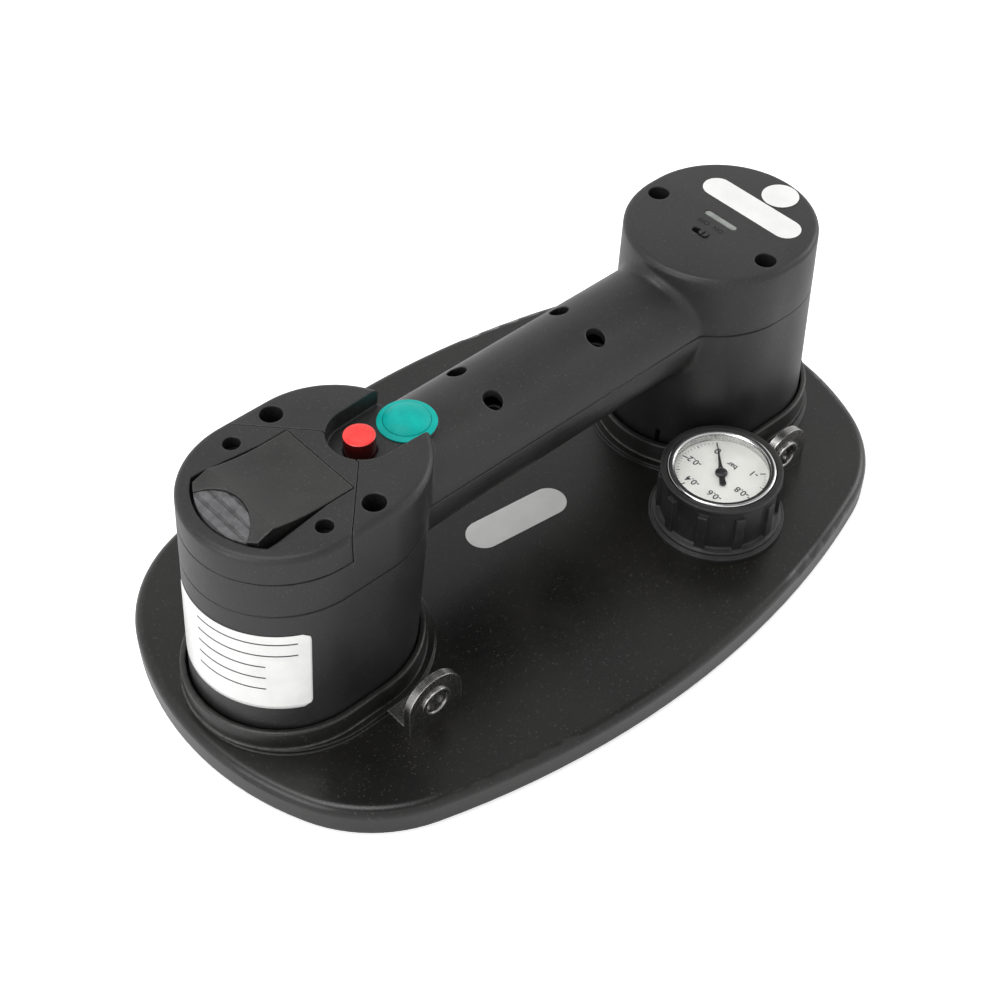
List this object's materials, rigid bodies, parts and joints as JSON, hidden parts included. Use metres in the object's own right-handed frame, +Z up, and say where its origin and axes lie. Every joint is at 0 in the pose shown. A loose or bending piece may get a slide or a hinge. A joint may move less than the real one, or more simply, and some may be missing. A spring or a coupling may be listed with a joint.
{
  "type": "battery vacuum suction lifter",
  "caption": "Battery-powered vacuum lifter for floor tiles: oval suction plate, tube handle between a battery tower and a pump tower, vacuum gauge and two lanyard eyes.",
  "frame": {"origin": "centre of the footprint at the bottom of the rubber seal, where the lifter stands on the slab", "axes": "+X along the handle from the battery tower to the pump tower, +Y away from the gauge and the lanyard eyes, +Z up"},
  "size_m": [0.298, 0.1892, 0.1042],
  "materials": {
    "bezel_steel": "rolled bright ring",
    "board_green": "green circuit board",
    "boot_rubber": "moulded black rubber",
    "brass": "turned brass",
    "cast_alloy": "die-cast pump body",
    "cell_wrap": "shrink-wrapped cells",
    "dial_white": "white printed dial",
    "filter_felt": "felt disc",
    "glass_clear": "clear flat glass",
    "hose_clear": "silicone tube",
    "housing_black": "fine-grained moulded plastic",
    "inner_plastic": "grey moulded plastic",
    "inner_rubber": "black rubber",
    "lens_clear": "clear lens",
    "motor_steel": "motor can",
    "pad_grey": "soft grey thumb pad",
    "plate_black": "satin moulded glass-filled plastic",
    "plated_steel": "bright zinc-plated steel",
    "pointer_black": "black pointer",
    "red_plastic": "glossy red button",
    "screw_steel": "black oxide screws",
    "seal_rubber": "black closed-cell rubber",
    "spring_steel": "spring wire",
    "teal_rubber": "teal silicone dome",
    "white_plastic": "white moulded plastic"
  },
  "bodies": {
    "housing": {"base_plate": "plate_black", "vacuum_seal": "seal_rubber", "inlet_filter": "filter_felt", "filter_cap": "inner_plastic", "lower_housing": "housing_black", "upper_housing": "housing_black", "terminal_fingers": "brass", "terminal_block": "inner_plastic", "grip_screws": "screw_steel", "tower_screws": "screw_steel", "base_screws": "screw_steel", "bracket_screws": "plated_steel", "button_bezel": "teal_rubber", "control_board": "board_green", "power_switch": "white_plastic", "release_valve_body": "brass", "release_spring": "spring_steel", "release_hose": "hose_clear", "suction_hose": "hose_clear", "led_window": "lens_clear", "led_emitter": "board_green", "slide_switch_body": "inner_plastic", "pump_motor": "motor_steel", "pump_crankcase": "cast_alloy", "connecting_rod": "inner_plastic", "diaphragm": "inner_rubber", "pump_head": "inner_plastic", "pump_bracket": "plated_steel", "motor_mounts": "inner_rubber", "gauge_boot": "boot_rubber", "gauge_case": "plated_steel", "gauge_bezel": "bezel_steel", "gauge_glass": "glass_clear", "gauge_dial": "dial_white", "bourdon_tube": "brass", "gauge_stem": "brass", "eyelet_bracket_left": "plated_steel", "eyelet_bracket_right": "plated_steel", "eyelet_grommet_left": "plated_steel", "eyelet_grommet_right": "plated_steel"},
    "battery": {"battery_cap": "housing_black", "battery_case": "inner_plastic", "battery_cells": "cell_wrap", "battery_contacts": "brass", "latch_pin": "spring_steel", "latch_spring": "spring_steel", "cap_screws": "screw_steel"},
    "latch": {"battery_latch": "housing_black", "latch_pad": "pad_grey"},
    "power_button": {"power_button": "teal_rubber"},
    "release_button": {"release_button": "red_plastic", "release_plug": "inner_rubber"},
    "slide_switch": {"slide_switch_knob": "white_plastic"},
    "pointer": {"gauge_pointer": "pointer_black"},
    "crank": {"pump_eccentric": "spring_steel"}
  },
  "joints": [
    {"name": "battery_slide", "type": "slide", "parent": "housing", "child": "battery", "axis": [0, 0, 1], "range_m": [0, 0.09]},
    {"name": "battery_latch_press", "type": "hinge", "parent": "battery", "child": "latch", "pos_m": [-0.0965, 0, 0.0982], "axis": [0, -1, 0], "range_deg": [0, 6], "stiffness_Nm_per_rad": 1.5, "springref_deg": -5.73, "deforming": ["latch_spring"]},
    {"name": "power_press", "type": "slide", "parent": "housing", "child": "power_button", "axis": [0, 0, -1], "range_m": [0, 0.0012], "stiffness_N_per_m": 1500, "springref_m": -0.0005},
    {"name": "release_press", "type": "slide", "parent": "housing", "child": "release_button", "axis": [0, 0, -1], "range_m": [0, 0.0035], "stiffness_N_per_m": 1200, "springref_m": -0.002, "deforming": ["release_spring"]},
    {"name": "lamp_switch_slide", "type": "slide", "parent": "housing", "child": "slide_switch", "axis": [0, 1, 0], "range_m": [0, 0.003]},
    {"name": "gauge_turn", "type": "hinge", "parent": "housing", "child": "pointer", "pos_m": [0.057, -0.0488, 0.0343], "axis": [0, 0, 1], "range_deg": [0, 270], "stiffness_Nm_per_rad": 0.00002},
    {"name": "pump_turn", "type": "hinge", "parent": "housing", "child": "crank", "pos_m": [0.102, 0.009, 0.0395], "axis": [0, 0, 1], "continuous": true}
  ]
}
